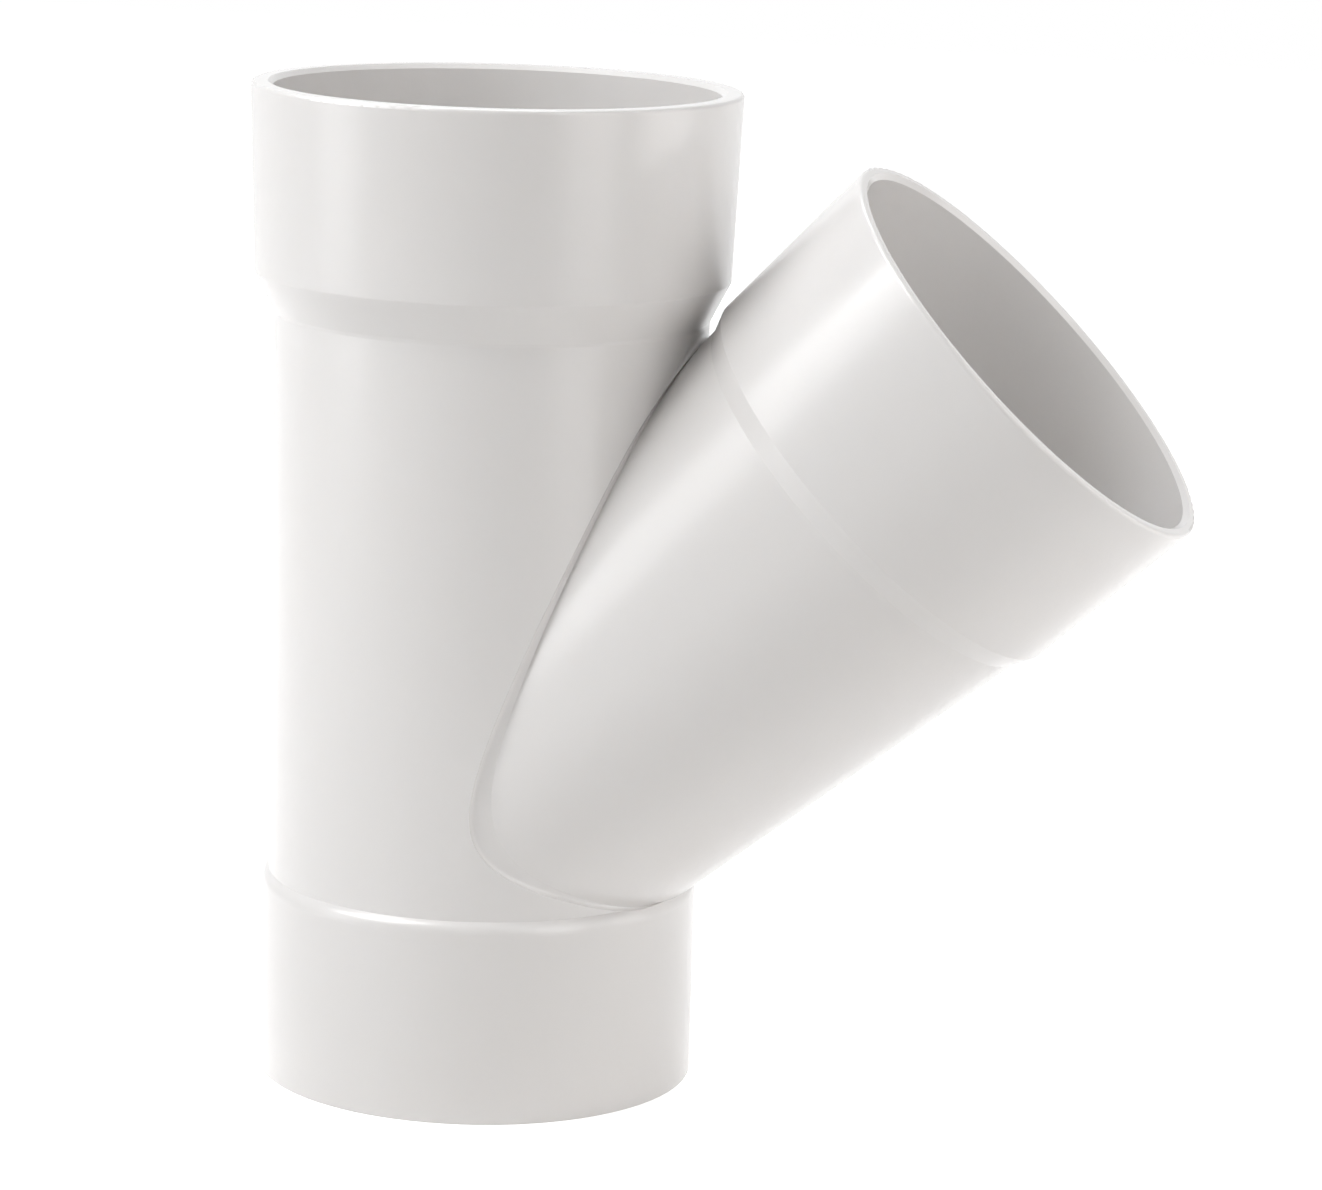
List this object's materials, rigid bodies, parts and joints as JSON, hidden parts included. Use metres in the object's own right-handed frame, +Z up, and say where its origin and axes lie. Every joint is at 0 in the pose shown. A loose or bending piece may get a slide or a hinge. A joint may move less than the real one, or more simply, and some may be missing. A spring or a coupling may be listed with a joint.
{
  "type": "lateral wye fitting",
  "caption": "Moulded lateral wye drain fitting: a straight run with a plain spigot below and a socket above, and a socket on a branch that leaves at 45 degrees.",
  "frame": {"origin": "centre of the spigot's open end, on the axis of the run", "axes": "+Z up the run from spigot to socket, +X the way the branch leans, +Y across the fitting's plane of symmetry"},
  "size_m": [0.2371, 0.1212, 0.249],
  "materials": {
    "white_plastic": "smooth moulded white plastic with a soft gloss"
  },
  "bodies": {
    "root": {"wye_fitting": "white_plastic"}
  },
  "joints": []
}
